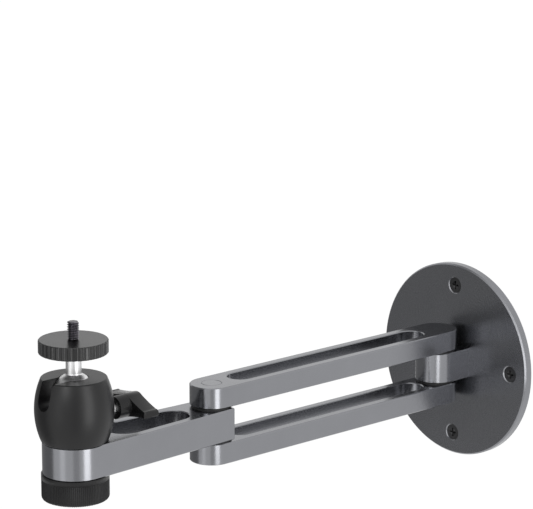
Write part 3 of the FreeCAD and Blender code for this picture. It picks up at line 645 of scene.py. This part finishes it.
def prism(outline, start_y, end_y):
    """A closed prism along Y over an outline in the XZ plane."""
    work = bmesh.new()
    near = [work.verts.new((p.x, start_y, p.z)) for p in outline]
    far = [work.verts.new((p.x, end_y, p.z)) for p in outline]
    count = len(outline)
    for index in range(count):
        after = (index + 1) % count
        work.faces.new((near[index], near[after], far[after], far[index]))
    work.faces.new(near[::-1])
    work.faces.new(far)
    bmesh.ops.recalc_face_normals(work, faces=work.faces)
    return work


def round_bar(radius, start_y, end_y, segments=64):
    """A round bar along Y."""
    turns = [2 * math.pi * index / segments for index in range(segments)]
    return prism([Vector((math.cos(a), 0, math.sin(a))) * radius for a in turns], start_y, end_y)


def shaped(name, base, tool, operation, round_width=0.0):
    """The mesh that a boolean of two closed meshes gives, with its edges rounded where asked."""
    first = bpy.data.objects.new(name + "_base", base)
    second = bpy.data.objects.new(name + "_tool", tool)
    for part in (first, second):
        bpy.context.scene.collection.objects.link(part)
    modifier = first.modifiers.new("shape", "BOOLEAN")
    modifier.operation = operation
    modifier.solver = "EXACT"
    modifier.object = second
    if round_width:
        soften = first.modifiers.new("soften", "BEVEL")
        soften.width = round_width
        soften.segments = 3
        soften.limit_method = "ANGLE"
        soften.angle_limit = WING_EDGE_ANGLE
    bpy.context.view_layer.update()
    graph = bpy.context.evaluated_depsgraph_get()
    mesh = bpy.data.meshes.new_from_object(first.evaluated_get(graph))
    first.modifiers.clear()
    for part in (first, second):
        bpy.data.objects.remove(part)
    return mesh


def build_wing():
    """The moulded two-wing knob with slightly hollow flanks, slanted tips and rounded edges."""
    low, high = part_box("wing_knob")
    start_y, end_y = low[1], high[1]
    wing_start = start_y + HUB_LENGTH
    reach = WING_TIP_DISTANCE + WING_TIP_RADIUS
    wings = prism(wing_outline(), wing_start, end_y)
    for side in (-1, 1):
        slant = Vector((side * (end_y - wing_start), -WING_INNER_CUT, 0)).normalized()
        cut_away(wings, (side * (reach - WING_INNER_CUT), wing_start, 0), slant)
    hub = as_mesh(round_bar(HUB_RADIUS, start_y, end_y - HUB_END_SINK), "wing_hub")
    whole = shaped("wing", as_mesh(wings, "wings"), hub, "UNION")
    bore = round_bar(WING_INSERT_RADIUS, start_y - INSERT_OVERRUN, start_y + WING_INSERT_DEPTH)
    whole = shaped("wing", whole, as_mesh(bore, "insert"), "DIFFERENCE", round_width=WING_EDGE_RADIUS)
    whole.transform(Matrix.Translation((0, 0, (low[2] + high[2]) / 2)) @ Matrix.Rotation(WING_TILT, 4, "Y"))
    dressed = joined("two_wing_knob", [whole], MATERIALS["wing_knob"], sharp_degrees=32)
    knob = add_piece("two_wing_knob", dressed)
    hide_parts("wing_knob")
    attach(knob, "wing_knob")


def dress_nodes():
    """Every CAD node gets its finish."""
    for node, material in MATERIALS.items():
        for slot in bpy.data.objects[node].material_slots:
            slot.material = material


dress_nodes()
build_stud()
build_wall_screws()
build_clamp_knob()
build_wing()


# Studio

def seen_directly(tree):
    """1 for what the camera, a reflection or a see-through surface shows, 0 for light on the object."""
    ray = put(tree, "ShaderNodeLightPath")
    shiny = maths(tree, "MAXIMUM", (ray, "Is Glossy Ray"), (ray, "Is Transmission Ray"))
    return maths(tree, "MAXIMUM", (ray, "Is Camera Ray"), shiny)


def build_world():
    """White surroundings that light the object less than they show."""
    world = bpy.data.worlds.new("pale_studio")
    bpy.context.scene.world = world
    world.use_nodes = True
    tree = world.node_tree
    level = maths(tree, "MULTIPLY_ADD", seen_directly(tree), WHITE - WORLD_LIGHT, WORLD_LIGHT)
    background = tree.nodes["Background"]
    background.inputs["Color"].default_value = (1, 1, 1, 1)
    tree.links.new(level[0].outputs[0], background.inputs["Strength"])


def flat_piece(name, corners):
    """A new object of one flat face."""
    mesh = bpy.data.meshes.new(name)
    mesh.from_pydata([tuple(c) for c in corners], [], [tuple(range(len(corners)))])
    return add_piece(name, mesh)


def build_floor():
    """A pale floor well below the mount; it is white where it is seen and keeps the shadow."""
    reach, height = FLOOR_REACH, FLOOR_HEIGHT
    floor = flat_piece("studio_floor", [(-reach, -reach, height), (reach, -reach, height),
                                        (reach, reach, height), (-reach, reach, height)])
    paint = bpy.data.materials.new("pale_floor")
    paint.use_nodes = True
    tree = paint.node_tree
    shader = tree.nodes["Principled BSDF"]
    place = put(tree, "ShaderNodeTexCoord")
    mottle = put(tree, "ShaderNodeTexNoise", {"Vector": (place, "Object"), "Scale": 3.0, "Detail": 4.0})
    tint = put(tree, "ShaderNodeMix", {"Factor": (mottle, "Fac"), "A": (0.80, 0.80, 0.80, 1),
                                       "B": (0.82, 0.82, 0.82, 1)}, data_type="RGBA")
    tree.links.new(tint.outputs["Result"], shader.inputs["Base Color"])
    shader.inputs["Roughness"].default_value = 0.9
    shader.inputs["Specular IOR Level"].default_value = 0.0
    shader.inputs["Emission Color"].default_value = (1, 1, 1, 1)
    glow = maths(tree, "MULTIPLY", seen_directly(tree), FLOOR_GLOW)
    tree.links.new(glow[0].outputs[0], shader.inputs["Emission Strength"])
    floor.data.materials.append(paint)


def build_card(name, left, right, low, high, level):
    """An upright card that only reflections show, from one ground point to another."""
    card = flat_piece(name, [(left[0], left[1], low), (right[0], right[1], low),
                             (right[0], right[1], high), (left[0], left[1], high)])
    paper = bpy.data.materials.new(name + "_paper")
    paper.use_nodes = True
    tree = paper.node_tree
    tree.nodes.remove(tree.nodes["Principled BSDF"])
    glow = put(tree, "ShaderNodeEmission", {"Color": (1, 1, 1, 1), "Strength": level})
    tree.links.new(glow.outputs[0], tree.nodes["Material Output"].inputs["Surface"])
    paper.cycles.emission_sampling = "NONE"
    card.data.materials.append(paper)
    card.visible_camera = False
    card.visible_diffuse = False
    card.visible_shadow = False
    card.visible_transmission = False
    card.visible_volume_scatter = False


def build_softbox(name, place, aim, width, height, level):
    """A rectangular softbox; its level is what a mirror shows of it, where 1 is white."""
    light = bpy.data.lights.new(name, "AREA")
    light.shape = "RECTANGLE"
    light.size = width
    light.size_y = height
    light.energy = level * math.pi * width * height
    lamp = bpy.data.objects.new(name, light)
    bpy.context.scene.collection.objects.link(lamp)
    away = (Vector(aim) - Vector(place)).to_track_quat("-Z", "Y")
    lamp.matrix_world = Matrix.Translation(place) @ away.to_matrix().to_4x4()
    lamp.visible_camera = False


def from_head(azimuth, elevation, distance):
    """A point seen from the head at this azimuth and elevation; azimuth 0 is straight out from the wall."""
    a, e = math.radians(azimuth), math.radians(elevation)
    way = Vector((math.sin(a) * math.cos(e), -math.cos(a) * math.cos(e), math.sin(e)))
    return HEAD_MIDDLE + way * distance


build_world()
build_floor()
build_softbox("strip_light", place=(0.352, -0.262, 0.13), aim=(0.0, -0.262, 0.13),
              width=0.14, height=0.53, level=2.7)
build_softbox("key_light", place=from_head(25, 30, 1.2), aim=HEAD_MIDDLE, width=0.35, height=0.6, level=4.0)
build_softbox("front_light", place=from_head(8, -2, 1.4), aim=HEAD_MIDDLE, width=0.45, height=1.0, level=0.6)
build_card("dark_card", left=CARD_CORNER, right=(-0.155, -0.58), low=-0.35, high=0.95, level=0.28)
build_card("dim_card", left=from_head(46, 0, 1.6), right=from_head(68, 0, 1.6),
           low=-1.1, high=1.0, level=0.66)
build_card("back_card", left=from_head(190, 0, 1.5), right=from_head(265, 0, 1.5),
           low=0.03, high=1.9, level=0.92)
build_card("low_left_card", left=CARD_CORNER, right=(-0.72, 0.28), low=-0.35, high=0.14, level=0.28)


# Camera

def build_camera():
    """The pinhole camera that was fitted to the photo."""
    place = (1.0380987, -1.0902201, 0.4167211)
    azimuth, elevation, roll = math.radians(47.962172), math.radians(13.279379), math.radians(0.099018)
    focal_pixels, image_width, sensor_width = 2627.697, 533, 36.0
    back = Vector((math.sin(azimuth) * math.cos(elevation), -math.cos(azimuth) * math.cos(elevation),
                   math.sin(elevation)))
    level_right = Vector((math.cos(azimuth), math.sin(azimuth), 0))
    level_up = back.cross(level_right)
    right = level_right * math.cos(roll) + level_up * math.sin(roll)
    up = level_up * math.cos(roll) - level_right * math.sin(roll)
    data = bpy.data.cameras.new("product_camera")
    data.sensor_width = sensor_width
    data.lens = sensor_width * focal_pixels / image_width
    camera = bpy.data.objects.new("product_camera", data)
    bpy.context.scene.collection.objects.link(camera)
    turn = Matrix((right, up, back)).transposed().to_4x4()
    camera.matrix_world = Matrix.Translation(place) @ turn
    bpy.context.scene.camera = camera


build_camera()
bpy.context.scene.view_settings.view_transform = "Standard"
